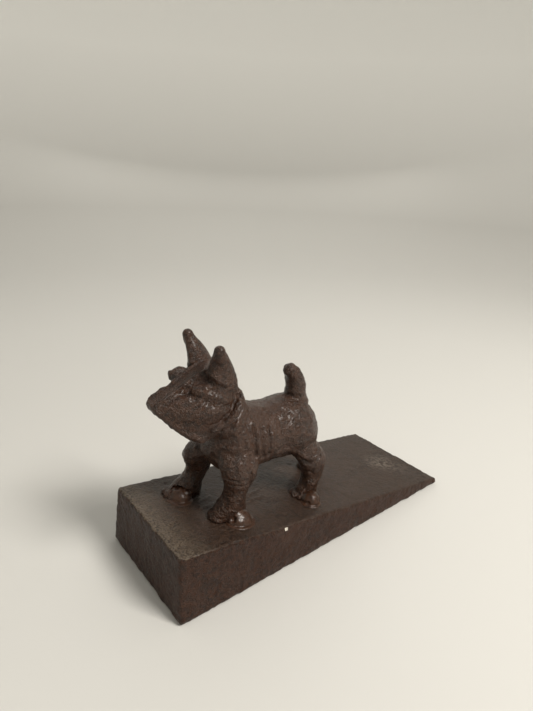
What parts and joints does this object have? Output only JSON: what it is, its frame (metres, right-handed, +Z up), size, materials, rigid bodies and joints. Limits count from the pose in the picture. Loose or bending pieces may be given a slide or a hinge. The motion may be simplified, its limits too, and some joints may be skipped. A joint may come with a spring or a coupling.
{
  "type": "door stop wedge with dog figure",
  "caption": "Cast-iron door wedge with a small standing terrier casting welded by its four feet to the sloping top.",
  "frame": {"origin": "on the floor, under the middle of the wedge", "axes": "+X along the wedge from its thick end to its thin end, +Y to the figure's right, +Z up; the figure faces -X"},
  "size_m": [0.1648, 0.0618, 0.1046],
  "materials": {
    "wedge_iron": "dark brown semi-gloss paint over rough sand-cast iron",
    "figure_iron": "dark brown semi-gloss paint over sand-cast iron",
    "weld_metal": "smooth weld metal under the same dark brown paint"
  },
  "bodies": {
    "root": {"wedge_casting": "wedge_iron", "terrier": "figure_iron", "weld_bead_front_left": "weld_metal", "weld_bead_front_right": "weld_metal", "weld_bead_rear_left": "weld_metal", "weld_bead_rear_right": "weld_metal"}
  },
  "joints": []
}
